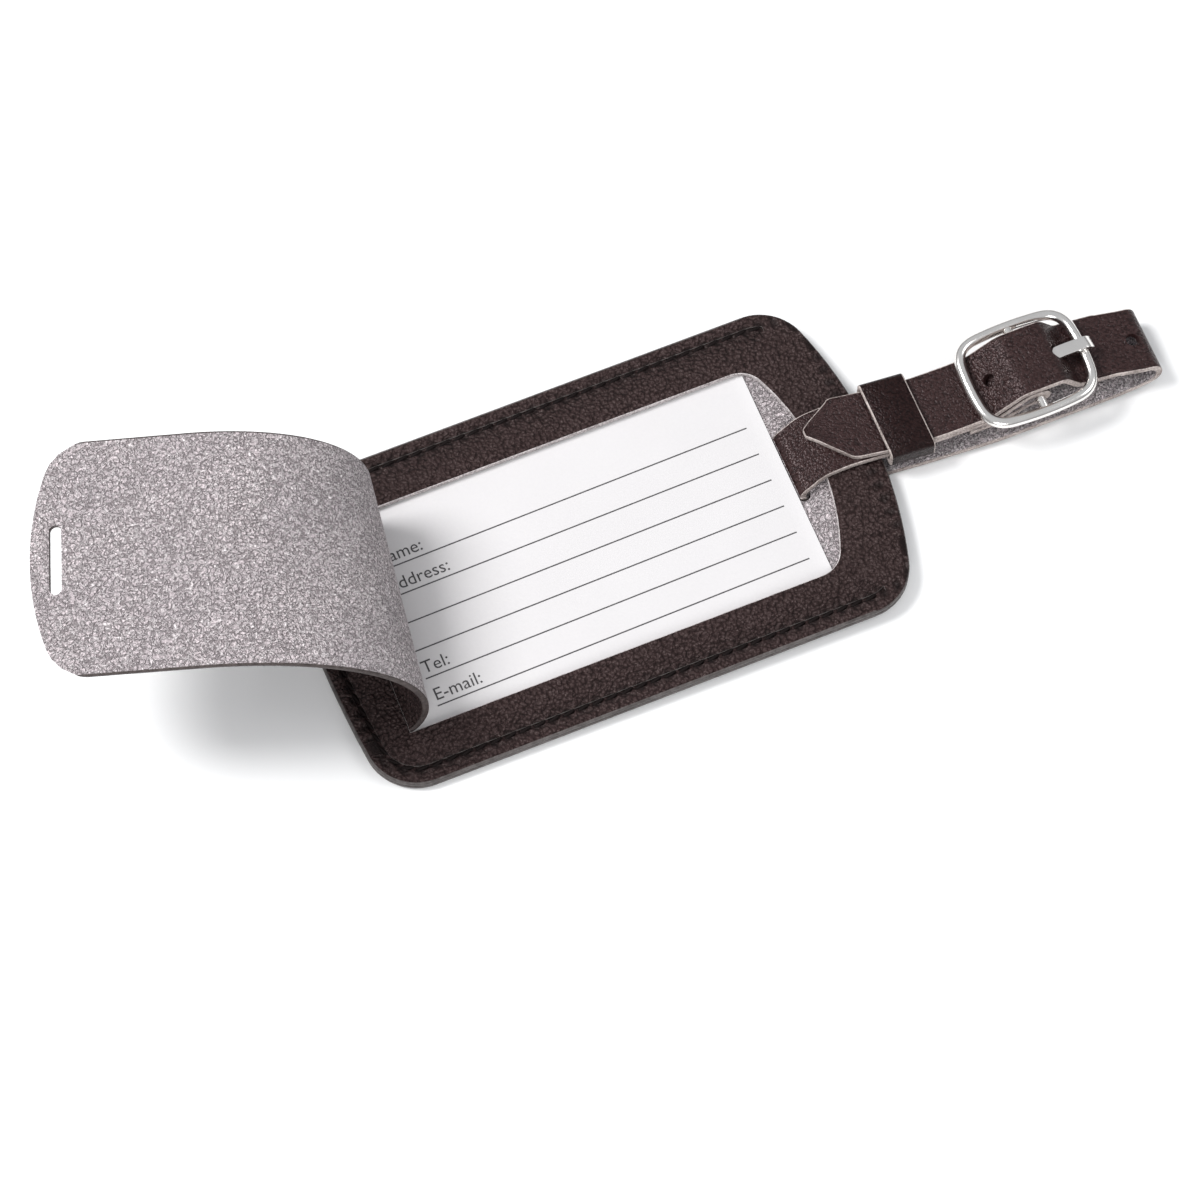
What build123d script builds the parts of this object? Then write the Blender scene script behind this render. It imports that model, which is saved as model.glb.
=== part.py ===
from build123d import *
import math
import os

os.makedirs("parts", exist_ok=True)

# Driving dimensions in millimetres. X runs along the tag towards the strap, Z rises out of the card
# window, and the origin is the middle of the back panel's underside.
body_length = 117.0
body_width = 68.0
corner_radius = 10.5
fold_end_bow = 235.0        # radius of the almost straight end beside the fold
strap_end_bow = 89.0        # radius of the rounder end under the strap
leather = 1.3               # one thickness of leather, in the panels and the strap
half_length = body_length / 2
half_width = body_width / 2
panel_top = 2 * leather

fold_inset = 10.7           # tag's end to the line where the flap folds
window_length = 94.6
window_width = 46.0
window_bow = 50.0           # radius of the window's far end
window_corner = 5.5
fold_x = fold_inset - half_length
window_end = fold_x + window_length
window_half = window_width / 2

card_length = 90.0
card_width = 50.0
card_thickness = 0.3
card_corner = 1.0
card_right = 40.1
card_lift = 0.95            # underside of the card above the tag's back
card_travel = 5.0           # how far the card slides towards the fold
pocket_floor = 0.9
pocket_slack = 0.1

seam_inset = 3.2            # stitch line in from the edge
seam_end = 46.5             # the seam stops short of the strap end
stitch_pitch = 3.0
stitch_length = 2.5
thread_width = 0.65
thread_height = 0.4
groove_width = 0.95
groove_depth = 0.36

crease_count = 8            # straight bend lines across the curled flap
first_crease_angle = 41.2   # degrees, at the fold itself
crease_angle = 21.27        # degrees, at each later crease
crease_gap = 0.12           # slit left between neighbouring strips
near_edge_step = 0.35       # creases along the flap's near edge, which they crowd at the fold
near_edge_spread = 1.06
far_edge_start = 1.0        # and along its far edge, where they are almost evenly spaced
far_edge_step = 5.5
far_edge_spread = 0.39
flap_kerf = 0.3             # knife cut between the flap and the window
flap_slot_length = 13.4
flap_slot_width = 2.4
flap_slot_back = 5.0        # slot's centre in from the flap's free end

strap_width = 13.8
strap_side = 0.6            # strap's middle to one side of the tag's middle
slot_x = 41.3
slot_width = 2.6
slot_length = 15.0
under_run = -0.7            # middle of the run below the tag
inner_run = 3.3             # middle of the run on the front panel
outer_run = 4.65            # middle of the run on top of it
turn_at_slot = 1.95
tag_strap_end = 56.5        # strap stays with the tag up to here
loose_strap_start = 60.5    # and moves with the buckle from here
tip_x = 45.7
tip_taper = 7.3
tip_corner = 1.2
strap_hole = 2.6
strap_holes_x = (82.9, 113.2)
prong_slot = (88.3, 94.2)   # opening for the prong in the buckle end, from and to
prong_hole = (95.4, 99.6)   # hole that the prong passes through in the free end
loop_end = 116.5            # middle of the strap at its far turn
tab_seam_x = 78.6           # stitches through the short tab
tab_seam_z = 1.35
tab_seam_rows = (-4.6, -1.55, 1.55, 4.6)
tab_stitch_length = 2.2
tab_stitch_width = 0.6
tab_stitch_height = 0.13

keeper_left = 59.2
keeper_width = 9.1
keeper_leather = 1.0
keeper_gap = 0.25
keeper_rise = 0.3           # the outer run rises a little under the keeper
keeper_corner = 1.3

bar_x = 91.0                # middle bar of the buckle
bar_radius = 1.0
buckle_z = 7.0
wire_radius = 1.1
side_bar_reach = 12.0       # middle bar to each side bar
buckle_half_width = 8.9     # wire's centre, at the corners
buckle_bow = 0.9            # outward bow of all four sides
buckle_corner = 4.2
prong_width = 2.5
prong_thickness = 1.1
running_gap = 0.05
prong_tip_drop = 0.97       # the tip hooks down in front of the right bar

strap_plane = Plane.XZ.offset(-strap_side)
wrap_radius = bar_radius + leather / 2

# Shared outlines.


def end_sag(bow, half_chord):
    """How far a bowed end stands out at its middle."""
    return bow - math.sqrt(bow**2 - half_chord**2)


def bowed_outline(left, right, half, left_bow, right_bow, corner):
    """A rounded rectangle whose ends are bowed by arcs; left_bow 0 leaves that end straight and square."""
    right_corner = right - end_sag(right_bow, half)
    left_corner = left + (end_sag(left_bow, half) if left_bow else 0)
    with BuildSketch() as outline:
        with BuildLine():
            Line((left_corner, half), (right_corner, half))
            ThreePointArc((right_corner, half), (right, 0), (right_corner, -half))
            Line((right_corner, -half), (left_corner, -half))
            if left_bow:
                ThreePointArc((left_corner, -half), (left, 0), (left_corner, half))
            else:
                Line((left_corner, -half), (left_corner, half))
        make_face()
        rounded = outline.vertices() if left_bow else outline.vertices().group_by(Axis.X)[-1]
        fillet(rounded, corner)
    return outline


body_outline = bowed_outline(
    -half_length, half_length, half_width, fold_end_bow, strap_end_bow, corner_radius
)

with BuildSketch() as seam_groove:
    offset(body_outline.sketch, amount=groove_width / 2 - seam_inset)
    offset(body_outline.sketch, amount=-groove_width / 2 - seam_inset, mode=Mode.SUBTRACT)
    with Locations((seam_end + stitch_length / 2 - body_length / 2, 0)):
        Rectangle(body_length, body_width, mode=Mode.INTERSECT)


def crease_ends(index):
    """Where a crease meets the flap's near and far long edges, measured from the fold."""
    near = near_edge_step * index + near_edge_spread * index**2
    far = far_edge_start + far_edge_step * index + far_edge_spread * index**2
    return near, far


with BuildSketch() as window_outline:
    add(bowed_outline(fold_x, window_end, window_half, 0, window_bow, window_corner).sketch)
    near_fold, far_fold = crease_ends(0)
    with BuildLine():
        Polyline(
            (fold_x - 1, -window_half - 1),
            (fold_x + near_fold, -window_half - 1),
            (fold_x + near_fold, -window_half),
            (fold_x + far_fold, window_half),
            (fold_x + far_fold, window_half + 1),
            (fold_x - 1, window_half + 1),
            close=True,
        )
    make_face(mode=Mode.SUBTRACT)

# Panels and card.

with BuildPart() as front_panel:
    with BuildSketch(Plane.XY.offset(leather)):
        add(body_outline.sketch)
        add(window_outline.sketch, mode=Mode.SUBTRACT)
    extrude(amount=leather)
    with BuildSketch(Plane.XY.offset(panel_top)):
        add(seam_groove.sketch)
    extrude(amount=-groove_depth, mode=Mode.SUBTRACT)

card_left = card_right - card_length
pocket_left = card_left - card_travel - pocket_slack
pocket_right = card_right + pocket_slack

with BuildPart() as back_panel:
    with BuildSketch():
        add(body_outline.sketch)
        with Locations((slot_x, strap_side)):
            SlotOverall(slot_length, slot_width, rotation=90, mode=Mode.SUBTRACT)
    extrude(amount=leather)
    with BuildSketch(Plane.XY.offset(pocket_floor)):
        with Locations(((pocket_left + pocket_right) / 2, 0)):
            Rectangle(pocket_right - pocket_left, card_width + 4 * pocket_slack)
    extrude(amount=leather, mode=Mode.SUBTRACT)
    with BuildSketch():
        add(seam_groove.sketch)
    extrude(amount=groove_depth, mode=Mode.SUBTRACT)

with BuildPart() as address_card:
    with BuildSketch(Plane.XY.offset(card_lift)):
        with Locations(((card_left + card_right) / 2, 0)):
            RectangleRounded(card_length, card_width, card_corner)
    extrude(amount=card_thickness)

# Stitching.

seam = offset(body_outline.sketch, amount=-seam_inset).face().outer_wire()
stitch_count = round(seam.length / stitch_pitch)


def stitches(height):
    """The visible stitches of one thread, lying in their groove from this height up."""
    with BuildPart() as thread:
        with BuildSketch(Plane.XY.offset(height)):
            for step in range(stitch_count):
                along = (step + 0.5) / stitch_count
                spot = seam.position_at(along)
                if spot.X > seam_end:
                    continue
                with Locations(Location((spot.X, spot.Y, 0), (0, 0, seam.tangent_angle_at(along)))):
                    SlotOverall(stitch_length, thread_width)
        extrude(amount=thread_height)
    return thread


groove_slack = 0.02
needle_thread = stitches(panel_top - groove_depth + groove_slack)
bobbin_thread = stitches(groove_depth - thread_height - groove_slack)

# Curled flap: strips between straight creases, each turned about the grain side of its crease.

flap_outline = bowed_outline(
    0, window_length - flap_kerf, window_half - flap_kerf, 0, window_bow - flap_kerf, window_corner
)

crease_angles = [first_crease_angle] + [crease_angle] * (crease_count - 1)


def crease_turn(index):
    """The move that bends the flap up at one crease, in the flat flap's own frame."""
    near, far = crease_ends(index)
    slant = -math.degrees(math.atan2(far - near, window_width))
    at_crease = Location((near, -window_half, 0), (0, 0, slant))
    return at_crease * Location((0, 0, 0), (0, -crease_angles[index], 0)) * at_crease.inverse()


def strip_corners(index):
    """Corners of the strip that follows a crease, a little clear of both creases."""
    near, far = crease_ends(index)
    if index + 1 < crease_count:
        next_near, next_far = crease_ends(index + 1)
    else:
        next_near = next_far = window_length
    side = window_half + 1
    lean = (far - near) / window_width
    next_lean = (next_far - next_near) / window_width
    return (
        (near - lean + crease_gap / 2, -side),
        (next_near - next_lean - crease_gap / 2, -side),
        (next_far + next_lean - crease_gap / 2, side),
        (far + lean + crease_gap / 2, side),
    )


def flap_strip(index, place):
    """One strip of the flap, hanging below the grain surface of its place."""
    with BuildPart() as strip:
        with BuildSketch(Plane(place)) as cut:
            add(flap_outline.sketch)
            with BuildLine():
                Polyline(*strip_corners(index), close=True)
            make_face(mode=Mode.INTERSECT)
            if index == crease_count - 1:
                with Locations((window_length - flap_kerf - flap_slot_back, 0)):
                    SlotOverall(flap_slot_length, flap_slot_width, rotation=90, mode=Mode.SUBTRACT)
        extrude(amount=-leather)
    return strip


flap_pieces = {}
place = Location((fold_x, 0, panel_top))
for index in range(crease_count):
    near, far = crease_ends(index)
    crease_start = place * Location((near, -window_half, 0))
    crease_stop = place * Location((far, window_half, 0))
    crease = (crease_stop.position - crease_start.position).normalized()
    print("crease", index + 1, "at", crease_start.position, "along", crease)
    place = place * crease_turn(index)
    last = index == crease_count - 1
    flap_pieces["flap_plate" if last else f"flap_strip_{index + 1}"] = flap_strip(index, place)

# Strap.


def strap_run(route, bends):
    """A length of strap along a route in the strap's own plane, rounded at its corners."""
    with BuildPart() as run:
        with BuildLine(strap_plane):
            middle = FilletPolyline(*route, radius=bends)
        with BuildSketch(Plane(origin=middle @ 0, x_dir=(0, 1, 0), z_dir=middle % 0)):
            Rectangle(strap_width, leather)
        sweep(path=middle)
    return run


slot_turn_x = slot_x - 0.3    # the strap bears on the slot's inner side
strap_slot_turn = strap_run(
    [
        (tag_strap_end, under_run), (slot_turn_x, under_run),
        (slot_turn_x, inner_run), (tag_strap_end, inner_run),
    ],
    [turn_at_slot, turn_at_slot],
)

with BuildPart() as strap_tip:
    with BuildSketch(Plane.XY.offset(outer_run - leather / 2)) as tip_shape:
        with BuildLine():
            Polyline(
                (tag_strap_end, strap_side + strap_width / 2),
                (tip_x + tip_taper, strap_side + strap_width / 2),
                (tip_x, strap_side),
                (tip_x + tip_taper, strap_side - strap_width / 2),
                (tag_strap_end, strap_side - strap_width / 2),
                close=True,
            )
        make_face()
        fillet(tip_shape.vertices().sort_by(Axis.X)[:3], tip_corner)
    extrude(amount=leather)


def cut_through(run, left, right, width, low=2.0, high=12.0):
    """Punch an opening with rounded ends through a strap run, between two heights."""
    with BuildPart(mode=Mode.PRIVATE) as punch:
        with BuildSketch(Plane.XY.offset(low)):
            with Locations(((left + right) / 2, strap_side)):
                corner = min(right - left, width) / 2 - 0.01
                RectangleRounded(right - left, width, corner)
        extrude(amount=high - low)
    run.part -= punch.part


bar_top = buckle_z + wrap_radius
bar_low = buckle_z - wrap_radius
wrap_x = bar_x + wrap_radius

# The buckle end runs over the middle bar, round it and back underneath as a short tab.
strap_buckle_end = strap_run(
    [
        (loose_strap_start, inner_run), (82.0, 3.6), (88.6, bar_top), (wrap_x, bar_top),
        (wrap_x, bar_low), (88.6, bar_low), (82.4, 2.25), (76.5, 2.15),
    ],
    [4, 3, wrap_radius - 0.02, wrap_radius - 0.02, 4, 6],
)
cut_through(strap_buckle_end, *prong_slot, prong_width + 1.0, low=3.0)

# The free end comes back over the handle, under, over and under the buckle's bars, to the tip.
outer_over_bar = bar_top + leather + running_gap
fold_height = 3.7
strap_loop = strap_run(
    [
        (loose_strap_start, outer_run), (76.5, 4.85), (81.0, 5.0), (87.6, outer_over_bar),
        (96.2, outer_over_bar), (99.8, 5.0), (106.0, 4.4), (loop_end, fold_height),
        (loop_end, under_run), (loose_strap_start, under_run),
    ],
    [20, 4, 4, 2.2, 2.2, 6, 2.1, 2.1],
)
cut_through(strap_loop, *prong_hole, prong_width + 0.6)
for hole_x in strap_holes_x:
    cut_through(strap_loop, hole_x - strap_hole / 2, hole_x + strap_hole / 2, strap_hole)

with BuildPart() as strap_keeper:
    keeper_low = inner_run - leather / 2 - keeper_gap / 2
    keeper_high = outer_run + keeper_rise + leather / 2 + keeper_gap
    keeper_inside = strap_width + 2 * keeper_gap
    with BuildSketch(Plane.YZ.offset(keeper_left)):
        with Locations((strap_side, (keeper_low + keeper_high) / 2)):
            keeper_tall = keeper_high - keeper_low
            keeper_wall = 2 * keeper_leather
            RectangleRounded(keeper_inside + keeper_wall, keeper_tall + keeper_wall, keeper_corner)
            RectangleRounded(keeper_inside, keeper_tall, keeper_corner - 0.9, mode=Mode.SUBTRACT)
    extrude(amount=keeper_width)

# Short stitches that close the buckle end against its tab.
with BuildPart() as tab_stitches:
    for row_y in tab_seam_rows:
        with BuildSketch(Plane.XY.offset(tab_seam_z)):
            with Locations((tab_seam_x, strap_side + row_y)):
                SlotOverall(tab_stitch_length, tab_stitch_width, rotation=90)
        extrude(amount=tab_stitch_height)

# Buckle.

left_bar = bar_x - side_bar_reach
right_bar = bar_x + side_bar_reach

with BuildPart() as buckle_frame:
    corner_y = strap_side + buckle_half_width
    bow_start = strap_side + 3.0
    with BuildLine(Plane.XY.offset(buckle_z)):
        half_frame = FilletPolyline(
            (left_bar, strap_side), (left_bar, bow_start), (left_bar + buckle_bow, corner_y),
            (bar_x, corner_y + buckle_bow), (right_bar - buckle_bow, corner_y),
            (right_bar, bow_start), (right_bar, strap_side),
            radius=[14, buckle_corner, 40, buckle_corner, 14],
        )
    with BuildSketch(Plane((left_bar, strap_side, buckle_z), z_dir=(0, 1, 0))):
        Circle(wire_radius)
    sweep(path=half_frame)
    mirror(about=strap_plane)
    with BuildSketch(strap_plane):
        with Locations((bar_x, buckle_z)):
            Circle(bar_radius)
    extrude(amount=buckle_half_width + buckle_bow, both=True, mode=Mode.SUBTRACT)

with BuildPart() as buckle_bar:
    with BuildSketch(strap_plane):
        with Locations((bar_x, buckle_z)):
            Circle(bar_radius)
    extrude(amount=buckle_half_width + buckle_bow, both=True)

prong_top = 8.72              # middle of the prong where it crosses the right bar
with BuildPart() as buckle_prong:
    with BuildSketch(strap_plane):
        with Locations((bar_x, buckle_z)):
            Circle(bar_radius + running_gap + prong_thickness)
    extrude(amount=prong_width / 2, both=True)
    with BuildLine(strap_plane):
        shank = FilletPolyline(
            (bar_x + 0.4, buckle_z + 1.6), (95.2, 8.2), (98.6, prong_top), (103.6, prong_top),
            (104.75, prong_top - prong_tip_drop),
            radius=[6, 8, 1.0],
        )
    with BuildSketch(Plane(origin=shank @ 0, x_dir=(0, 1, 0), z_dir=shank % 0)):
        Rectangle(prong_width, prong_thickness)
    sweep(path=shank)
    with BuildSketch(strap_plane):
        with Locations((bar_x, buckle_z)):
            Circle(bar_radius + running_gap)
    extrude(amount=prong_width, both=True, mode=Mode.SUBTRACT)

# One STEP for each piece.

pieces = {
    "front_panel": front_panel,
    "back_panel": back_panel,
    "address_card": address_card,
    "needle_thread": needle_thread,
    "bobbin_thread": bobbin_thread,
    **flap_pieces,
    "strap_slot_turn": strap_slot_turn,
    "strap_tip": strap_tip,
    "strap_buckle_end": strap_buckle_end,
    "strap_loop": strap_loop,
    "strap_keeper": strap_keeper,
    "tab_stitches": tab_stitches,
    "buckle_frame": buckle_frame,
    "buckle_bar": buckle_bar,
    "buckle_prong": buckle_prong,
}
for name, piece in pieces.items():
    piece.part.label = name
    export_step(piece.part, f"parts/{name}.step")
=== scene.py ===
import bpy
import bmesh
import math
from bisect import bisect_right
from mathutils import Matrix, Vector


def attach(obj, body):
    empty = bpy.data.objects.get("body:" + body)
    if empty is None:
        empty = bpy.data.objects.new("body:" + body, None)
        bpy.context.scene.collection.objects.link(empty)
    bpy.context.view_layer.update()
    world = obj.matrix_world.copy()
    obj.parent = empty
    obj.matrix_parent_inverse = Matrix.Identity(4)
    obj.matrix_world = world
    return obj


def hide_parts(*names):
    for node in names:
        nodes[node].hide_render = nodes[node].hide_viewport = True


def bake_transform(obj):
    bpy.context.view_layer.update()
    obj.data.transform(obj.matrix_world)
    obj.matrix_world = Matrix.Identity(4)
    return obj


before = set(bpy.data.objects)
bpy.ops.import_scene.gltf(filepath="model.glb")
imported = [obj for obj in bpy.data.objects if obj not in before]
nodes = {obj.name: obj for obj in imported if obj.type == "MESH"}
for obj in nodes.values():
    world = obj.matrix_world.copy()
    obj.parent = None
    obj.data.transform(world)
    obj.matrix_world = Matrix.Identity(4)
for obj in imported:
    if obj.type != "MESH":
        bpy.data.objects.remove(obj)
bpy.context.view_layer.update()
print("frame loaded:", len(nodes), "nodes")

mm = 0.001


class Wire:    # a node's output; sums on it add Math nodes
    def __init__(self, tree, socket):
        self.tree = tree
        self.socket = socket

    def node(self, kind, settings=None, sockets=None, out=0):    # any other node
        made = self.tree.nodes.new("ShaderNode" + kind)
        for key, value in (settings or {}).items():
            setattr(made, key, value)
        for key, value in (sockets or {}).items():
            if isinstance(value, Wire):
                self.tree.links.new(value.socket, made.inputs[key])
            else:
                made.inputs[key].default_value = value
        return Wire(self.tree, made.outputs[out])

    def math(self, operation, first=None, second=0.0):
        return self.node("Math", {"operation": operation}, {0: self if first is None else first, 1: second})

    def __add__(self, other): return self.math("ADD", self, other)
    def __radd__(self, other): return self.math("ADD", other, self)
    def __sub__(self, other): return self.math("SUBTRACT", self, other)
    def __rsub__(self, other): return self.math("SUBTRACT", other, self)
    def __mul__(self, other): return self.math("MULTIPLY", self, other)
    def __rmul__(self, other): return self.math("MULTIPLY", other, self)

    def __abs__(self): return self.math("ABSOLUTE")
    def most(self, other): return self.math("MAXIMUM", self, other)
    def least(self, other): return self.math("MINIMUM", self, other)

    def between(self, low, high):    # 0 below low, 1 above high
        return self.node("MapRange", {"interpolation_type": "SMOOTHSTEP"},
                         {"Value": self, "From Min": low, "From Max": high})

    def mix(self, first, second):    # two colours, by this factor
        def colour(value):
            return value if isinstance(value, Wire) else (*value, 1.0)
        return self.node("Mix", {"data_type": "RGBA"},
                         {0: self, 6: colour(first), 7: colour(second)}, 2)

    def noise(self, scale, detail=3.0, rough=0.5, squeeze=None, out=0):
        place = self
        if squeeze:
            place = self.node("Mapping", None, {"Vector": self, "Scale": squeeze})
        return self.node("TexNoise", None, {"Vector": place, "Scale": scale, "Detail": detail,
                                            "Roughness": rough}, out)

    def shaken(self, scale, amount):    # the same place, pushed about by a noise
        push = self.noise(scale, 2.0, 0.5, None, 1)
        push = push.node("VectorMath", {"operation": "SUBTRACT"}, {0: push, 1: (0.5, 0.5, 0.5)})
        push = push.node("VectorMath", {"operation": "SCALE"}, {0: push, "Scale": amount})
        return self.node("VectorMath", {"operation": "ADD"}, {0: self, 1: push})

    def axis(self, index):    # one coordinate of a place
        return self.node("SeparateXYZ", None, {0: self}, index)


def newMaterial(name, fixed):
    material = bpy.data.materials.new(name)
    material.use_nodes = True
    tree = material.node_tree
    shader = tree.nodes["Principled BSDF"]
    for key, value in fixed.items():
        shader.inputs[key].default_value = (*value, 1.0) if isinstance(value, tuple) else value
    return material, tree, shader


def feed(tree, shader, **wires):
    names = {"colour": "Base Color", "rough": "Roughness", "normal": "Normal"}
    for key, wire in wires.items():
        tree.links.new(wire.socket, shader.inputs[names[key]])


def place(tree, kind):    # Object coordinates, or the piece's own flat UV map
    start = Wire(tree, None)
    return start.node("TexCoord", None, None, {"object": 3, "flat": 2}[kind])


def bump(wire, distance):
    return wire.node("Bump", None, {"Height": wire, "Distance": distance, "Strength": 1.0})


def addPiece(name, bm, materials, body, replaced, sharp=40):
    mesh = bpy.data.meshes.new(name)
    bm.to_mesh(mesh)
    bm.free()
    for material in materials:
        mesh.materials.append(material)
    mesh.shade_smooth()
    mesh.set_sharp_from_angle(angle=math.radians(sharp))
    piece = bpy.data.objects.new(name, mesh)
    bpy.context.scene.collection.objects.link(piece)
    if replaced:
        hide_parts(*replaced)
    if body:
        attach(piece, body)
    return piece


def nodeMesh(name):    # a merged copy of a CAD node, with its flat faces whole
    bm = bmesh.new()
    bm.from_mesh(nodes[name].data)
    bmesh.ops.remove_doubles(bm, verts=bm.verts, dist=2e-6)
    bmesh.ops.dissolve_limit(bm, angle_limit=math.radians(1.0), verts=bm.verts, edges=bm.edges)
    return bm


def bevelEdges(bm, edges, width, segments=2):
    return bmesh.ops.bevel(bm, geom=list(edges), offset=width, offset_type="OFFSET", affect="EDGES",
                           segments=segments, profile=0.5, material=-1, clamp_overlap=True)


def gridPiece(rows, columns, at, flatAt, materialAt):
    # a grid bent to shape: at(i, j) is the point of row i and column j, flatAt its place on the hide
    bm = bmesh.new()
    bmesh.ops.create_grid(bm, x_segments=columns, y_segments=rows, size=0.5)
    spots = {}
    for vert in bm.verts:
        spots[vert] = (round((vert.co.y + 0.5) * rows), round((vert.co.x + 0.5) * columns))
    uv = bm.loops.layers.uv.new("flat")
    for face in bm.faces:
        cells = [spots[loop.vert] for loop in face.loops]
        face.material_index = materialAt(sum(c[0] for c in cells) / 4, sum(c[1] for c in cells) / 4)
        for loop, cell in zip(face.loops, cells):
            loop[uv].uv = flatAt(*cell)
    for vert, cell in spots.items():
        vert.co = at(*cell)
    bmesh.ops.remove_doubles(bm, verts=bm.verts, dist=4e-6)
    bmesh.ops.dissolve_degenerate(bm, dist=1e-7, edges=bm.edges)
    ends = [e for e in bm.edges if e.is_boundary]
    if ends:
        bmesh.ops.holes_fill(bm, edges=ends, sides=0)
    bmesh.ops.recalc_face_normals(bm, faces=bm.faces)
    return bm


def sharpEdges(bm, degrees):
    return [e for e in bm.edges if len(e.link_faces) == 2 and e.calc_face_angle() > math.radians(degrees)]


def roundedSection(half, thick, r, across, steps):    # (side place, height) round a strip, upper side first
    flat = max(half - r, 0.0)
    ring = [(-flat + 2 * flat * j / across, thick / 2) for j in range(across + 1)]
    for n in range(1, steps + 1):
        a = math.pi / 2 * n / steps
        ring.append((flat + r * math.sin(a), thick / 2 - r + r * math.cos(a)))
    for n in range(steps):
        a = math.pi / 2 * n / steps
        ring.append((flat + r * math.cos(a), -thick / 2 + r - r * math.sin(a)))
    ring += [(-y, -height) for y, height in ring]
    return ring + [ring[0]]


def bandOf(column, across, steps):    # 0 on a strip's upper side, 1 on an edge, 2 on the lower side
    edge = 2 * steps + 1
    if column < across:
        return 0
    return 2 if across + edge < column < 2 * across + edge else 1


def walkRound(ring):    # lengths walked from point to point
    walk = [0.0]
    for (y0, h0), (y1, h1) in zip(ring, ring[1:]):
        walk.append(walk[-1] + math.hypot(y1 - y0, h1 - h0))
    return walk


def appliedMesh(thing):    # the mesh of an object with its modifiers applied
    bpy.context.view_layer.update()
    return bpy.data.meshes.new_from_object(thing.evaluated_get(bpy.context.evaluated_depsgraph_get()))


def slotCutter(length, width, depth, segments, way):    # a round-ended prism, long along axis number way
    cutter = bmesh.new()
    r = width / 2
    bmesh.ops.create_cone(cutter, cap_ends=True, segments=segments, radius1=r, radius2=r, depth=depth)
    for vert in cutter.verts:
        if abs(vert.co[way]) > 1e-9:
            vert.co[way] += math.copysign(length / 2 - r, vert.co[way])
    return cutter


def cutWith(piece, cutter):    # an applied Boolean difference
    tool = bpy.data.objects.new("cutter", bpy.data.meshes.new("cutter"))
    cutter.to_mesh(tool.data)
    cutter.free()
    bpy.context.scene.collection.objects.link(tool)
    cut = piece.modifiers.new("cut", "BOOLEAN")
    cut.operation = "DIFFERENCE"
    cut.solver = "EXACT"
    cut.object = tool
    done = appliedMesh(piece)
    piece.modifiers.clear()
    piece.data = done
    done.shade_smooth()
    done.set_sharp_from_angle(angle=math.radians(40))
    bpy.data.objects.remove(tool)


studio = {
    "lens": 139.48, "sensor": 36.0, "clip": 0.05,
    "target": (-0.00365, -0.0105, 0.0), "distance": 0.89916, "azimuth": -22.28, "elevation": 67.55,
    "floorSize": 3.0, "floorColour": (0.93, 0.93, 0.93),
    "floorLeft": -0.0585, "floorRight": 0.041, "floorDrop": 0.00137,
    "sky": 0.575, "horizon": (0.35, 0.35, 0.35), "zenith": (0.95, 0.97, 1.0), "skyBand": (-0.1, 0.75),
    "lamps": [    # name, place, size, watts; each points at the origin
        ("keyLight", (-0.50, 0.36, 0.82), 0.42, 9.6),
        ("fillLight", (0.75, -0.25, 0.80), 0.60, 2.5),
        ("frontLight", (-0.40, -0.85, 0.62), 0.60, 4.6),
    ],
}


def pointAt(thing, way):    # turns a camera or a lamp to look along a direction
    thing.rotation_mode = "QUATERNION"
    thing.rotation_quaternion = way.to_track_quat("-Z", "Y")
    bpy.context.scene.collection.objects.link(thing)


def makeStudio(s):
    scene = bpy.context.scene
    azimuth, elevation = math.radians(s["azimuth"]), math.radians(s["elevation"])
    back = Vector((math.sin(azimuth) * math.cos(elevation),
                   -math.cos(azimuth) * math.cos(elevation), math.sin(elevation)))
    camera = bpy.data.objects.new("camera", bpy.data.cameras.new("camera"))
    camera.data.lens = s["lens"]
    camera.data.sensor_width = s["sensor"]
    camera.data.clip_start = s["clip"]
    camera.location = Vector(s["target"]) + back * s["distance"]
    pointAt(camera, -back)
    scene.camera = camera
    scene.view_settings.view_transform = "Standard"

    world = bpy.data.worlds.new("softSky")
    world.use_nodes = True
    sky = world.node_tree.nodes["Background"]
    up = Wire(world.node_tree, None).node("TexCoord").axis(2).between(*s["skyBand"])
    shade = up.mix(s["horizon"], s["zenith"])
    world.node_tree.links.new(shade.socket, sky.inputs["Color"])
    sky.inputs["Strength"].default_value = s["sky"]
    scene.world = world
    for name, at, size, watts in s["lamps"]:
        lamp = bpy.data.objects.new(name, bpy.data.lights.new(name, "AREA"))
        lamp.data.shape = "DISK"
        lamp.data.size = size
        lamp.data.energy = watts
        lamp.location = at
        pointAt(lamp, -Vector(at))

    bm = bmesh.new()
    bmesh.ops.create_grid(bm, x_segments=1, y_segments=1, size=s["floorSize"] / 2)
    slope = s["floorDrop"] / (s["floorRight"] - s["floorLeft"])    # touches the tag's end and the strap
    for vert in bm.verts:
        vert.co.z = -(vert.co.x - s["floorLeft"]) * slope
    mesh = bpy.data.meshes.new("floor")
    bm.to_mesh(mesh)
    bm.free()
    fixed = {"Roughness": 0.9, "Base Color": s["floorColour"], "Specular IOR Level": 0.1}
    mesh.materials.append(newMaterial("paleFloor", fixed)[0])
    floor = bpy.data.objects.new("floor", mesh)
    scene.collection.objects.link(floor)
    print("studio made")


makeStudio(studio)


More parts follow.
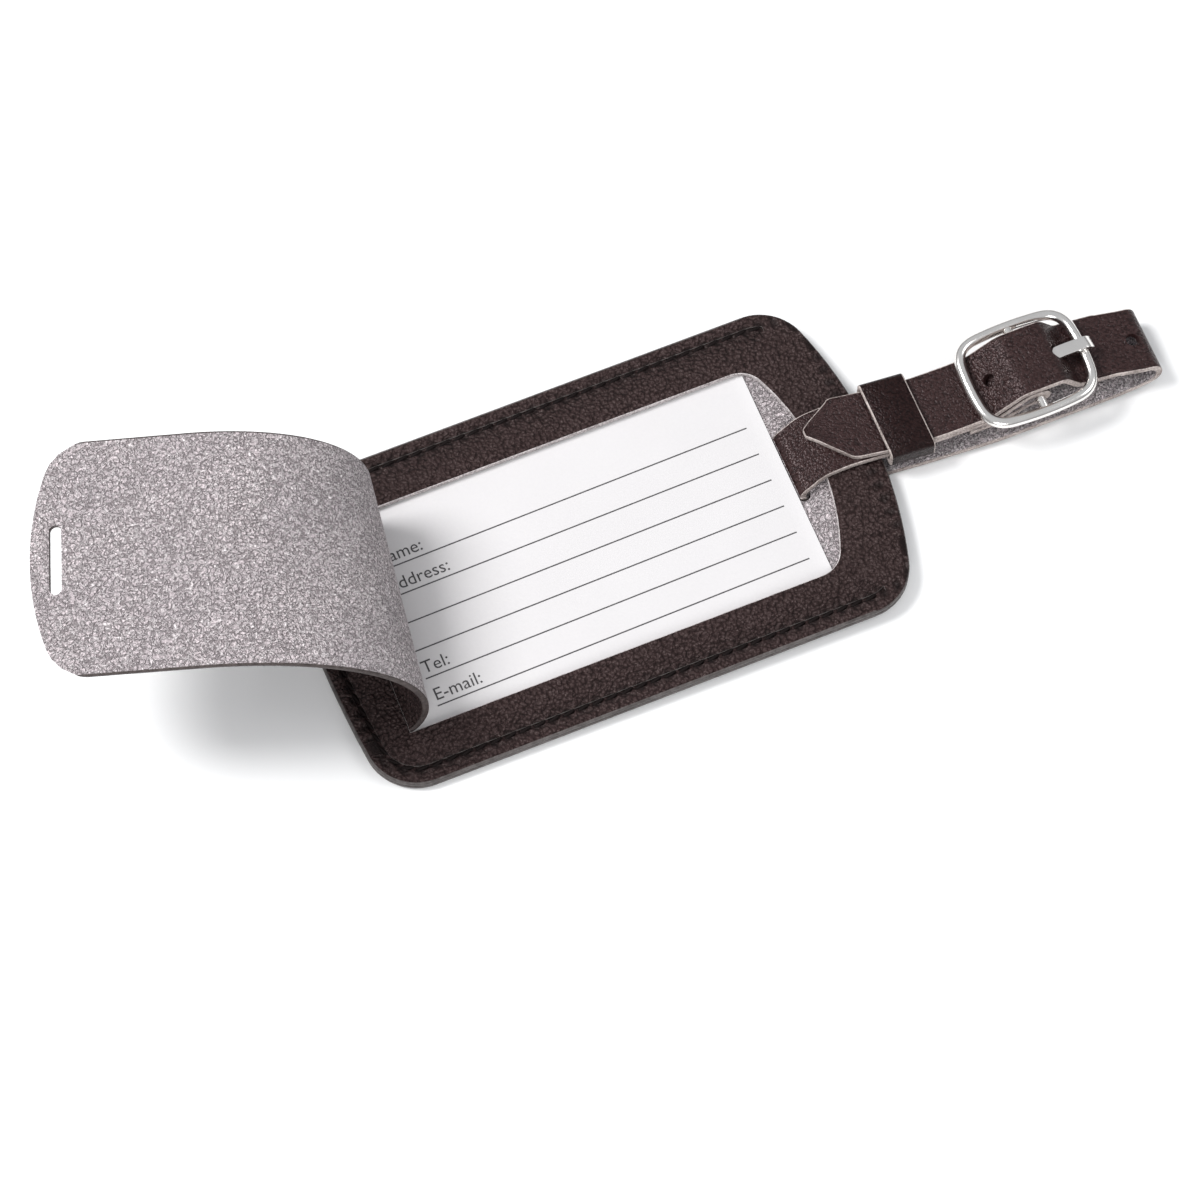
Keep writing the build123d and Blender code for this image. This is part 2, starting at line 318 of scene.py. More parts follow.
grainForm = {    # scales are shares of the pebbles' own
    "shakeScale": 0.55, "shake": 1.3, "dent": 1.5, "wrinkleScale": 0.75, "swellScale": 0.25,
    "domeTone": 0.55, "wrinkleTone": 0.9, "tone": (0.42, 1.05),
    "patchScale": 0.05, "patchTone": (0.35, 0.65), "patchShare": 0.5, "glint": (0.62, 0.95),
}
seamPull = {
    "halfLength": 0.0553, "halfWidth": 0.0308, "corner": 0.0073, "pitch": 0.003,
    "near": 0.0003, "far": 0.0017, "turnBand": 0.002, "pucker": 0.9, "calm": 0.35,
    "shade": (0.006, 0.003, 0.003), "shadeShare": 0.85,
}


def pullSeam(at, s, height, colour):    # leather drawn down beside the stitches, and puckered between them
    x, y = at.axis(0), at.axis(1)
    across = abs(x) - (s["halfLength"] - s["corner"])
    up = abs(y) - (s["halfWidth"] - s["corner"])
    past = (across.most(0.0) * across.most(0.0) + up.most(0.0) * up.most(0.0)).math("POWER", None, 0.5)
    away = abs(past + across.most(up).least(0.0) - s["corner"])
    onLong = up.between(-s["turnBand"], s["turnBand"])
    beat = (onLong * x + (1 - onLong) * y) * (2 * math.pi / s["pitch"])
    pucker = beat.math("SINE") * 0.5 + 0.5
    near = 1 - away.between(s["near"], s["far"])
    height = height * (1 - near * s["calm"]) + near * pucker * s["pucker"]
    return height, (near * (1 - pucker) * s["shadeShare"]).mix(colour, s["shade"])


def makeGrain(name, s, kind, seam=None):
    fixed = {"Specular IOR Level": s["shine"], "Specular Tint": s["sheen"]}
    material, tree, shader = newMaterial(name, fixed)
    form, pebble = grainForm, s["pebble"]
    at = place(tree, kind)
    bent = at.shaken(pebble * form["shakeScale"], form["shake"] / pebble)
    cell = bent.node("TexVoronoi", {"feature": "F1"}, {"Vector": bent, "Scale": pebble, "Randomness": 1.0})
    domes = 1 - cell * cell * form["dent"]
    wrinkle = at.noise(pebble * form["wrinkleScale"], 3.0, 0.6)
    swell = at.noise(pebble * form["swellScale"], 2.0, 0.6)
    height = domes * s["dome"] + wrinkle * s["wrinkle"] + swell * s["swell"]
    tone = (domes * form["domeTone"] + wrinkle * form["wrinkleTone"]).between(*form["tone"])
    colour = tone.mix(s["deep"], s["high"])
    patch = at.noise(pebble * form["patchScale"], 3.0).between(*form["patchTone"])
    colour = (patch * form["patchShare"]).mix(colour, s["patch"])
    # painted highlight: a lighter colour laid on the highest dome tops
    glint = tone.between(*form["glint"])
    colour = (glint * s["glintShare"]).mix(colour, s["glintColour"])
    if seam:
        height, colour = pullSeam(at, seam, height, colour)
    feed(tree, shader, colour=colour, rough=s["rough"][1] - glint * (s["rough"][1] - s["rough"][0]),
         normal=bump(height, s["relief"]))
    return material


def makeSuede(name, s, kind):
    material, tree, shader = newMaterial(name, {"Specular IOR Level": 0.12, "Sheen Weight": 0.15,
                                                "Sheen Roughness": 0.5})
    at = place(tree, kind)
    fibre = s["fibre"]
    curled = at.shaken(fibre * s["shakeScale"], s["shake"] / fibre)

    def strands(scale, thin, shift):    # thin winding lines, where a noise crosses its middle
        moved = curled.node("VectorMath", {"operation": "ADD"}, {0: curled, 1: shift})
        return 1 - abs(moved.noise(fibre * scale, 1.0, 0.4) - 0.5).between(0.0, thin)

    hairs = strands(*s["hairs"][0]).most(strands(*s["hairs"][1]))
    gaps = strands(*s["gaps"][0]).most(strands(*s["gaps"][1]))
    nap = at.noise(fibre * s["napScale"], 3.0, 0.7)
    broken = at.noise(fibre * s["brokenScale"], 2.0).between(*s["broken"])
    wide = at.noise(fibre * s["wideScale"], 2.0).between(*s["wide"])
    colour = nap.between(*s["nap"]).mix(s["dark"], s["middle"])
    colour = (wide * s["tintShare"]).mix(colour, s["tint"])
    colour = (gaps * s["gapShare"]).mix(colour, s["dark"])
    colour = (hairs * broken * s["hairShare"]).mix(colour, s["light"])
    height = nap * s["napHeight"] + hairs * broken * s["hairHeight"] - gaps * s["gapDepth"] + 0.5
    feed(tree, shader, colour=colour, rough=s["rough"] + nap * s["roughSpread"],
         normal=bump(height, s["relief"]))
    return material


def makeEdge(name, dark, light, scale, rough, relief, kind):
    material, tree, shader = newMaterial(name, {"Specular IOR Level": 0.3})
    at = place(tree, kind)
    grainy = at.noise(scale, 4.0, 0.65)
    layers = at.noise(scale * 0.4, 2.0, 0.5, squeeze=(0.3, 0.3, 3.0))
    tone = (grainy * 0.7 + layers * 0.4).between(0.35, 0.75)
    feed(tree, shader, colour=tone.mix(dark, light), rough=rough + grainy * 0.1,
         normal=bump(grainy, relief))
    return material


# the lighter colour laid on the dome tops, and its share, are a painted highlight
panelGrain = {
    "pebble": 1400.0, "dome": 0.55, "wrinkle": 0.65, "swell": 0.4, "relief": 0.0009,
    "deep": (0.0175, 0.0090, 0.0087), "high": (0.039, 0.0218, 0.0212), "patch": (0.026, 0.0140, 0.0136),
    "glintColour": (0.058, 0.041, 0.040), "glintShare": 0.3, "rough": (0.38, 0.58), "shine": 0.30,
    "sheen": (1.0, 0.88, 0.86),
}
strapGrain = {
    "pebble": 2100.0, "dome": 0.5, "wrinkle": 0.6, "swell": 0.5, "relief": 0.00019,
    "deep": (0.0085, 0.0032, 0.0030), "high": (0.029, 0.0116, 0.0110), "patch": (0.018, 0.0070, 0.0066),
    "glintColour": (0.060, 0.040, 0.039), "glintShare": 0.35, "rough": (0.24, 0.34), "shine": 0.27,
    "sheen": (1.0, 0.86, 0.87),
}
keeperGrain = dict(strapGrain, deep=(0.0042, 0.0014, 0.0014), high=(0.0135, 0.0050, 0.0048),
                   patch=(0.008, 0.0030, 0.0028), glintColour=(0.032, 0.018, 0.017), relief=0.00014, shine=0.15)
flesh = {
    "fibre": 2300.0, "dark": (0.17, 0.144, 0.15), "middle": (0.83, 0.74, 0.758),
    "light": (0.92, 0.85, 0.86), "tint": (0.36, 0.315, 0.335), "relief": 0.0007,
    "shakeScale": 0.4, "shake": 1.1, "napScale": 1.1, "nap": (0.34, 0.68),
    "brokenScale": 0.55, "broken": (0.36, 0.62), "wideScale": 0.022, "wide": (0.32, 0.68),
    "tintShare": 0.5, "gapShare": 0.75, "hairShare": 0.85, "rough": 0.86, "roughSpread": 0.12,
    "napHeight": 0.3, "hairHeight": 0.6, "gapDepth": 0.5,
    # scale, thinness, shift
    "hairs": [(0.28, 0.05, (0.0, 0.0, 0.0)), (0.4, 0.055, (0.31, 0.17, 0.05))],
    "gaps": [(0.3, 0.05, (0.7, 0.4, 0.2)), (0.42, 0.05, (0.12, 0.83, 0.6))],
}
edgeLooks = {    # dark, light, scale, rough, relief, coordinates
    "rawEdge": ((0.20, 0.175, 0.175), (0.74, 0.69, 0.685), 2600.0, 0.85, 0.0002, "object"),
    "paintedEdge": ((0.050, 0.042, 0.040), (0.125, 0.112, 0.108), 900.0, 0.42, 0.00008, "object"),
    "flapEdge": ((0.030, 0.022, 0.021), (0.085, 0.068, 0.065), 900.0, 0.6, 0.00008, "flat"),
    "keeperEdge": ((0.16, 0.125, 0.115), (0.60, 0.53, 0.50), 2200.0, 0.75, 0.0001, "object"),
    "strapEdge": ((0.16, 0.125, 0.115), (0.60, 0.53, 0.50), 2200.0, 0.75, 0.0001, "flat"),
}

panelLeather = makeGrain("panelLeather", panelGrain, "object", seamPull)
flapLeather = makeGrain("flapLeather", panelGrain, "flat")
strapLeather = makeGrain("strapLeather", strapGrain, "flat")
keeperLeather = makeGrain("keeperLeather", keeperGrain, "object")
panelSuede = makeSuede("panelSuede", flesh, "object")
flapSuede = makeSuede("flapSuede", flesh, "flat")
rawEdge, paintedEdge, flapEdge, keeperEdge, strapEdge = (
    makeEdge(name, *look) for name, look in edgeLooks.items())


fineLooks = {    # each noise's scale, detail, roughness and squeeze; its shares in colour and roughness
    "waxedThread": {
        "fixed": {"Specular IOR Level": 0.1}, "fine": (3800.0, 3.0, 0.6), "wide": None,
        "dark": (0.0025, 0.0012, 0.0012), "light": (0.010, 0.0062, 0.006), "fineTone": 1.0,
        "rough": 0.5, "fineRough": 0.25, "relief": 0.00006,
    },
    "nickelPlate": {
        "fixed": {"Metallic": 1.0},
        "fine": (2400.0, 3.0, 0.6, (1.0, 0.25, 1.0)), "wide": (260.0, 3.0, 0.55),
        "dark": (0.80, 0.775, 0.75), "light": (0.90, 0.875, 0.85), "wideTone": 1.0,
        "rough": 0.10, "fineRough": 0.06, "wideRough": 0.10, "relief": 0.000006,
    },
    "cardPaper": {
        "fixed": {"Specular IOR Level": 0.3}, "fine": (1800.0, 3.0, 0.6), "wide": (60.0, 2.0),
        "dark": (0.575, 0.560, 0.564), "light": (0.645, 0.630, 0.634), "fineTone": 0.5, "wideTone": 0.5,
        "rough": 0.55, "fineRough": 0.15, "relief": 0.00001,
    },
    "printInk": {
        "fixed": {"Specular IOR Level": 0.3}, "fine": (1500.0, 3.0, 0.6), "wide": None,
        "dark": (0.035, 0.033, 0.035), "light": (0.11, 0.105, 0.108), "fineTone": 1.0,
        "rough": 0.6, "fineRough": 0.1, "relief": None,
    },
}


def makeFine(name, s):    # the smooth materials: colour and roughness from a fine and a wide noise
    material, tree, shader = newMaterial(name, s["fixed"])
    at = place(tree, "object")
    fine = at.noise(*s["fine"])
    wide = at.noise(*s["wide"]) if s["wide"] else fine
    tone, rough = None, s["rough"]
    for wire, key in ((fine, "fine"), (wide, "wide")):
        if key + "Tone" in s:
            part = wire * s[key + "Tone"]
            tone = part if tone is None else tone + part
        if key + "Rough" in s:
            rough = rough + wire * s[key + "Rough"]
    feed(tree, shader, colour=tone.mix(s["dark"], s["light"]), rough=rough)
    if s["relief"]:
        feed(tree, shader, normal=bump(fine, s["relief"]))
    return material


threadWax, nickelPlate, cardPaper, printInk = (
    makeFine(name, look) for name, look in fineLooks.items())
print("materials made")


panels = {
    "leather": 1.3 * mm, "rim": 0.42 * mm, "innerRim": 0.16 * mm, "press": 0.11, "pressFrom": 0.4 * mm,
    "pressEnd": 47.0 * mm, "pressFade": 6.0 * mm, "windowLeft": -47.8 * mm, "windowRight": 46.8 * mm,
    "windowHalf": 23.0 * mm, "windowMargin": 0.3 * mm, "foldBand": 0.4 * mm,
    # node, piece, lower face
    "nodes": [("front_panel", "panel_front", 1.3 * mm), ("back_panel", "panel_back", 0.0)],
}


def inWindow(point, s):
    grow = s["windowMargin"]
    return (s["windowLeft"] - grow < point.x < s["windowRight"] + grow
            and abs(point.y) < s["windowHalf"] + grow)


def byFold(point, s):    # where the flap grows from the panel
    return abs(point.x - s["windowLeft"]) < s["foldBand"]


def outsideSeam(point, s):    # how far outside the rounded seam line a place is
    x = abs(point.x) - (s["halfLength"] - s["corner"])
    y = abs(point.y) - (s["halfWidth"] - s["corner"])
    return math.hypot(max(x, 0.0), max(y, 0.0)) + min(max(x, y), 0.0) - s["corner"]


def rimEdges(bm, low, high, s):    # level edges of a panel's full-height walls: the outer, the window's
    outer, inner = [], []
    for edge in sharpEdges(bm, 60):
        a, b = (v.co for v in edge.verts)
        onFace = abs(a.z - b.z) < 1e-6 and min(abs(a.z - low), abs(a.z - high)) < 2e-5
        walls = [f for f in edge.link_faces if abs(f.normal.z) < 0.3]
        if not (onFace and walls):
            continue
        levels = [v.co.z for v in walls[0].verts]
        middle = (a + b) / 2
        if max(levels) - min(levels) < 0.9 * s["leather"]:
            continue
        if not inWindow(middle, s):
            outer.append(edge)
        elif not byFold(middle, s):
            inner.append(edge)
    return outer, inner


def pressBorder(bm, top, s):    # the border outside the seam lies a little lower
    crowded = [f for f in bm.faces if len(f.verts) > 4 and f.calc_center_median().z > top - 0.1 * mm]
    bmesh.ops.triangulate(bm, faces=crowded)
    for vert in bm.verts:
        past = outsideSeam(vert.co, seamPull) - s["pressFrom"]
        if vert.co.z > top - s["rim"] - 1e-5 and past > 0:
            fade = min(1.0, max(0.0, (s["pressEnd"] - vert.co.x) / s["pressFade"]))
            vert.co.z -= past * s["press"] * fade
    bm.normal_update()


def makePanels(s):
    for node, name, low in s["nodes"]:
        bm = nodeMesh(node)
        isFront = node == "front_panel"
        high = low + s["leather"]
        outer, inner = rimEdges(bm, low, high, s)
        bevelEdges(bm, outer, s["rim"], 3)
        bevelEdges(bm, [e for e in inner if e.is_valid], s["innerRim"], 2)
        if isFront:
            pressBorder(bm, high, s)
        for face in bm.faces:
            centre = face.calc_center_median()
            if abs(face.normal.z) >= 0.95:
                face.material_index = 0 if (face.normal.z > 0) == isFront else 1
            else:
                face.material_index = 2 if isFront and inWindow(centre, s) and not byFold(centre, s) else 3
        addPiece(name, bm, [panelLeather, panelSuede, rawEdge, paintedEdge], "tag", [node],
                 50)
    print("panels made")


makePanels(panels)


stitching = {
    "length": 2.6 * mm, "width": 0.70 * mm, "height": 0.42 * mm, "around": 8, "along": 6, "fullness": 0.8,
    "seams": [    # node, piece, body, lift, slant in degrees, share of the length
        ("needle_thread", "stitches_front", "tag", 0.02 * mm, 14.0, 1.0),
        ("bobbin_thread", "stitches_back", "tag", -0.02 * mm, -14.0, 1.0),
        ("tab_stitches", "stitches_tab", "strap", 0.0, 0.0, 0.75),
    ],
}


def stitchSpots(node):    # the centre and direction of each stitch in a CAD node
    bm = bmesh.new()
    bm.from_mesh(nodes[node].data)
    bmesh.ops.remove_doubles(bm, verts=bm.verts, dist=2e-6)
    left = set(bm.verts)
    spots = []
    while left:
        island, ahead = set(), [min(left, key=lambda v: v.index)]
        while ahead:
            vert = ahead.pop()
            if vert in island:
                continue
            island.add(vert)
            ahead += [e.other_vert(vert) for e in vert.link_edges]
        left -= island
        centre = sum((v.co for v in island), Vector()) / len(island)
        xx = sum((v.co.x - centre.x) ** 2 for v in island)
        yy = sum((v.co.y - centre.y) ** 2 for v in island)
        xy = sum((v.co.x - centre.x) * (v.co.y - centre.y) for v in island)
        spots.append((centre, 0.5 * math.atan2(2 * xy, xx - yy)))
    bm.free()
    return spots


def makeStitches(s):
    for node, name, body, lift, slant, share in s["seams"]:
        made = bmesh.new()
        size = (s["length"] * share, s["width"], s["height"])
        for centre, turn in stitchSpots(node):
            new = bmesh.ops.create_uvsphere(made, u_segments=s["around"], v_segments=s["along"],
                                            radius=0.5)["verts"]
            for vert in new:    # fuller than an ellipsoid towards its ends
                vert.co.z = math.copysign(abs(vert.co.z * 2) ** s["fullness"] / 2, vert.co.z)
            bmesh.ops.rotate(made, verts=new, matrix=Matrix.Rotation(math.pi / 2, 3, "Y"))
            bmesh.ops.scale(made, verts=new, vec=size)
            bmesh.ops.rotate(made, verts=new, matrix=Matrix.Rotation(turn + math.radians(slant), 3, "Z"))
            bmesh.ops.translate(made, verts=new, vec=centre + Vector((0, 0, lift)))
        addPiece(name, made, [threadWax], body, [node], 60)
    print("stitches made")


makeStitches(stitching)


flap = {
    "foldX": -47.8 * mm, "top": 2.6 * mm, "leather": 1.3 * mm, "halfWidth": 22.7 * mm,
    "rulingHalf": 23.0 * mm, "length": 94.3 * mm, "endBow": 49.7 * mm, "endCorner": 5.5 * mm,
    "firstTurn": 41.2, "laterTurn": 21.27, "firstRuling": 0.4, "lastRuling": 7.5, "folds": 8,
    # where ruling k meets the near and far edges, in mm from the fold: constant, times k, times k squared
    "nearCurve": (0.0, 0.35, 1.06), "farCurve": (1.0, 5.5, 0.39),
    "edgeRound": 0.35 * mm, "cornerSteps": 3, "across": 26, "rowsPerFold": 12, "plateRows": 30,
    # the rounded free end: mm back from it, share of the thickness kept
    "nose": [(0.42, 1.0), (0.30, 0.97), (0.16, 0.84), (0.05, 0.6), (0.0, 0.3), (0.0, 0.0)],
    "slotLength": 13.4 * mm, "slotWidth": 2.4 * mm, "slotBack": 5.0 * mm, "slotDepth": 5.0 * mm,
    "blendShare": 0.95, "blendRuling": 0.02, "blendStep": 0.5 * mm,
}


def rulingEnds(k, s):    # where ruling k meets the flat flap's near and far edges, from the fold
    return [(c + b * k + a * k * k) * mm for c, b, a in (s["nearCurve"], s["farCurve"])]


def rulingAt(k, y, s):    # how far from the fold ruling k crosses a side place
    near, far = rulingEnds(k, s)
    return near + (far - near) * (y + s["rulingHalf"]) / (2 * s["rulingHalf"])


def rulingOf(u, y, s):    # which ruling passes through a flat point
    t = (y + s["rulingHalf"]) / (2 * s["rulingHalf"])
    c, b, a = ((near * (1 - t) + far * t) * mm for near, far in zip(s["nearCurve"], s["farCurve"]))
    return (-b + math.sqrt(max(0.0, b * b - 4 * a * (c - u)))) / (2 * a)


def rulingTurn(k, angle, s):    # the move that bends everything past ruling k up by an angle
    near, far = rulingEnds(k, s)
    start = Vector((near, -s["rulingHalf"], 0))
    along = Vector((far - near, 2 * s["rulingHalf"], 0)).normalized()
    return (Matrix.Translation(start) @ Matrix.Rotation(-math.radians(angle), 4, along)
            @ Matrix.Translation(-start))


def makeCurl(s, step=0.025):
    moves = [Matrix.Translation((s["foldX"], 0, s["top"]))]
    count = round(s["lastRuling"] / step)
    later = s["laterTurn"] * (s["folds"] - 1)
    for index in range(count):
        k = (index + 0.5) * step
        rate = s["firstTurn"] / s["firstRuling"]
        if k > s["firstRuling"]:
            rate = later / (s["lastRuling"] - s["firstRuling"])
        moves.append(moves[-1] @ rulingTurn(k, rate * step, s))

    def curl(k, u, y, depth):
        at = max(0.0, min(k / step, count))
        index = min(int(at), count - 1)
        part = at - index
        low = moves[index] @ Vector((u, y, -depth))
        high = moves[index + 1] @ Vector((u, y, -depth))
        return low.lerp(high, part)
    return curl


def flapEnd(y, s):    # where the bowed and rounded free end is, at each side place
    bow = s["endBow"] - math.sqrt(s["endBow"] ** 2 - y * y)
    past = max(0.0, abs(y) - (s["halfWidth"] - s["endCorner"]))
    corner = s["endCorner"] - math.sqrt(max(0.0, s["endCorner"] ** 2 - past * past))
    return s["length"] - bow - corner


def makeStretch(s, curl, fold):    # the flap between two creases; the last has the free end and the slot
    thick = s["leather"]
    ring = roundedSection(s["halfWidth"], thick, s["edgeRound"], s["across"], s["cornerSteps"])
    walk = walkRound(ring)
    first = 0.0 if fold == 1 else fold - 1.5
    last = fold - 0.5
    isEnd = fold == s["folds"]
    rows = s["plateRows"] + len(s["nose"]) - 1 if isEnd else s["rowsPerFold"]

    def spot(i, j):    # (ruling, flat place, side place, depth)
        y, height = ring[j]
        if not isEnd:
            k = first + (last - first) * i / rows
            return k, rulingAt(k, y, s), y, thick / 2 + height
        back, share = s["nose"][max(0, i - s["plateRows"])]
        u = flapEnd(y, s) - back * mm
        if i < s["plateRows"]:
            root = rulingAt(first, y, s)
            u = root + (u - root) * i / s["plateRows"]
        return rulingOf(u, y, s), u, y, thick / 2 + height * share

    def kindAt(row, column):
        return (1, 2, 0)[bandOf(column, s["across"], s["cornerSteps"])]

    bm = gridPiece(rows, len(ring) - 1, lambda i, j: curl(*spot(i, j)),
                   lambda i, j: (spot(i, j)[1], walk[j]), kindAt)
    piece = addPiece(f"flap_{fold}", bm, [flapLeather, flapSuede, flapEdge], None,
                     [f"flap_strip_{fold}" if not isEnd else "flap_plate"])
    if isEnd:
        cutFlapSlot(piece, curl, s)

    crease = fold - 1
    near, far = rulingEnds(crease, s)
    middle = (near + far) / 2
    here = curl(crease, middle, 0.0, 0.0)
    axis = curl(crease, far, s["rulingHalf"], 0.0) - curl(crease, near, -s["rulingHalf"], 0.0)
    axis = axis.normalized()
    before = curl(max(0, crease - s["blendRuling"]), middle - s["blendStep"], 0.0, 0.0)
    ahead = curl(crease + s["blendRuling"], middle + s["blendStep"], 0.0, 0.0) - before
    ahead = (ahead - axis * ahead.dot(axis)).normalized()
    reach = s["blendShare"] * min(abs(a - b) for k in ([last] if fold == 1 else [first, last])
                                  for a, b in zip(rulingEnds(k, s), (near, far)))
    here - ahead * reach
    here + ahead * reach
    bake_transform(piece)


def cutFlapSlot(piece, curl, s):
    cutter = slotCutter(s["slotLength"], s["slotWidth"], s["slotDepth"], 32, 1)
    centre, deep, k = s["length"] - s["slotBack"], s["leather"] / 2, s["lastRuling"] + 1
    origin = curl(k, centre, 0.0, deep)
    alongU = (curl(k, centre + 1 * mm, 0.0, deep) - origin).normalized()
    alongY = (curl(k, centre, 1 * mm, deep) - origin).normalized()
    turn = Matrix((alongU, alongY, alongU.cross(alongY))).transposed().to_4x4()
    bmesh.ops.transform(cutter, matrix=Matrix.Translation(origin) @ turn, verts=cutter.verts)
    cutWith(piece, cutter)


def makeFlap(s):
    curl = makeCurl(s)
    for fold in range(1, s["folds"] + 1):
        makeStretch(s, curl, fold)
    print("flap made")


makeFlap(flap)


card = {
    "left": -49.9 * mm, "right": 40.1 * mm, "halfWidth": 25.0 * mm, "low": 0.95 * mm, "thickness": 0.3 * mm,
    "corner": 1.6 * mm, "curlStart": 37.2 * mm, "curlRise": 0.32 * mm,
    "lineLeft": -41.35 * mm, "lineRight": 36.55 * mm, "firstLine": 11.87 * mm, "pitch": 6.03 * mm,
    "lineWidth": 0.27 * mm, "turn": 0.9, "inkLift": 0.012 * mm, "ink": 0.03 * mm,
    "labels": {0: "Name:", 1: "Address:", 4: "Tel:", 5: "E-mail:"}, "letter": 3.7 * mm,
    "labelIn": 0.1 * mm, "labelUp": 1.1 * mm, "rows": 6,
}


def makeCard(s):
    bm = bmesh.new()
    bmesh.ops.create_grid(bm, x_segments=90, y_segments=50, size=0.5)
    for vert in bm.verts:
        vert.co = Vector((s["left"] + (vert.co.x + 0.5) * (s["right"] - s["left"]),
                          vert.co.y * 2 * s["halfWidth"], s["low"] + s["thickness"]))
        past = max(0.0, vert.co.x - s["curlStart"]) / (s["right"] - s["curlStart"])
        vert.co.z += s["curlRise"] * past * past
    corners = [v for v in bm.verts if abs(abs(v.co.y) - s["halfWidth"]) < 1e-6
               and (abs(v.co.x - s["left"]) < 1e-6 or abs(v.co.x - s["right"]) < 1e-6)]
    bmesh.ops.bevel(bm, geom=corners, offset=s["corner"], affect="VERTICES", segments=5,
                    profile=0.5, material=-1)
    bmesh.ops.solidify(bm, geom=list(bm.faces), thickness=s["thickness"])
    bmesh.ops.recalc_face_normals(bm, faces=bm.faces)
    addPiece("card", bm, [cardPaper], "card", ["address_card"])

    face = s["low"] + s["thickness"] + s["inkLift"]
    turn = Matrix.Rotation(math.radians(s["turn"]), 4, "Z")
    marks = bmesh.new()
    for row in range(s["rows"]):
        y = s["firstLine"] - row * s["pitch"]
        new = bmesh.ops.create_cube(marks, size=1.0)["verts"]
        bmesh.ops.scale(marks, verts=new, vec=(s["lineRight"] - s["lineLeft"], s["lineWidth"], s["ink"]))
        bmesh.ops.translate(marks, verts=new, vec=((s["lineRight"] + s["lineLeft"]) / 2, y, face))
        if row in s["labels"]:
            words = bpy.data.curves.new("words", "FONT")
            words.body = s["labels"][row]
            words.size = s["letter"]
            words.extrude = s["ink"] / 2
            words.resolution_u = 3
            carrier = bpy.data.objects.new("words", words)
            bpy.context.scene.collection.objects.link(carrier)
            flat = appliedMesh(carrier)
            flat.transform(Matrix.Translation((s["lineLeft"] + s["labelIn"], y + s["labelUp"], face)))
            marks.from_mesh(flat)
            bpy.data.objects.remove(carrier)
            bpy.data.curves.remove(words)
            bpy.data.meshes.remove(flat)
    bmesh.ops.remove_doubles(marks, verts=marks.verts, dist=1e-7)
    pivot = Vector((s["lineRight"], s["firstLine"], 0))
    turn = Matrix.Translation(pivot) @ turn @ Matrix.Translation(-pivot)
    bmesh.ops.transform(marks, matrix=turn, verts=marks.verts)
    addPiece("card_print", marks, [printInk], "card", [])
    print("card made")


makeCard(card)


strap = {
    "width": 13.8 * mm, "leather": 1.3 * mm, "edgeRound": 0.22 * mm, "cornerSteps": 2, "across": 14,
    # runs in the strap's own plane, from the pointed tip to the end of the tab: x, z, corner radius
    "route": [
        (45.7, 4.65, 0), (76.5, 4.85, 20), (81.0, 5.0, 4), (87.6, 10.0, 4), (96.2, 10.0, 2.2),
        (99.8, 5.0, 2.2), (106.0, 4.4, 6), (116.5, 3.7, 2.1), (116.5, -0.7, 2.1),
        (41.0, -0.7, 1.95), (41.0, 2.3, 2.1), (48.2, 3.35, 10), (82.0, 3.6, 4), (88.6, 8.65, 3),
        (92.65, 8.65, 1.63), (92.65, 5.35, 1.63), (88.6, 5.35, 4), (82.4, 2.25, 6), (76.5, 2.15, 0),
    ],
    # which leg of the strap each of those corners is on
    "legs": [0, 0, 0, 0, 0, 0, 0, 1, 2, 3, 4, 4, 4, 4, 5, 6, 6, 6, 6],
    # how far the strap's middle lies to one side: leg, x, y
    "drift": [
        (0, 45.7, 5.3), (0, 49.0, 4.2), (0, 53.0, 3.2), (0, 58.0, 2.3), (0, 64.0, 1.35), (0, 72.0, 1.0),
        (0, 90.0, 0.8), (0, 103.0, 0.8), (0, 108.0, 0.3), (0, 113.0, -0.5), (1, 116.5, -1.1),
        (2, 113.0, -1.6), (2, 106.0, -1.8), (2, 82.0, -1.7), (2, 67.0, -0.8), (2, 58.7, 0.0),
        (2, 43.0, 0.5), (3, 41.0, 0.6), (4, 43.0, 1.6), (4, 46.0, 2.4), (4, 52.0, 2.6), (4, 58.0, 2.1),
        (4, 64.0, 1.35), (4, 72.0, 1.0), (4, 84.0, 0.7), (4, 92.0, 0.6), (5, 92.0, 0.6), (6, 84.0, 0.6),
        (6, 76.5, 0.6),
    ],
    "step": 0.9 * mm, "soften": 2.2 * mm, "blendStart": 56.4 * mm, "blendEnd": 60.6 * mm,
    # rows at the two ends, in mm: from the tip, half width, share of thickness; from the tab's end, share
    "tipRows": [(0.0, 0.35, 0.0), (0.0, 0.35, 0.45), (0.05, 0.6, 0.8), (0.16, 0.9, 1.0)],
    "tabRows": [(0.35, 1.0), (0.12, 0.92), (0.0, 0.6), (0.0, 0.0)],
    "taper": 7.3 * mm, "apex": 1.1 * mm, "taperFrom": 0.4 * mm, "taperFirst": 0.5 * mm,
    "taperPast": 1.6 * mm, "taperStep": 0.45 * mm, "rowGap": 0.2 * mm,
    "shoulderBefore": 0.6 * mm, "shoulderAfter": 0.9 * mm, "shoulderBend": 160.0,
    # leg, x, length, width, how far it goes below the leather's middle
    "holes": [(0, 83.6, 2.6, 2.6, 0.67), (0, 113.2, 2.6, 2.6, 0.67), (0, 97.6, 4.6, 3.1, 1.6)],
    "holeRise": 3.0,
}


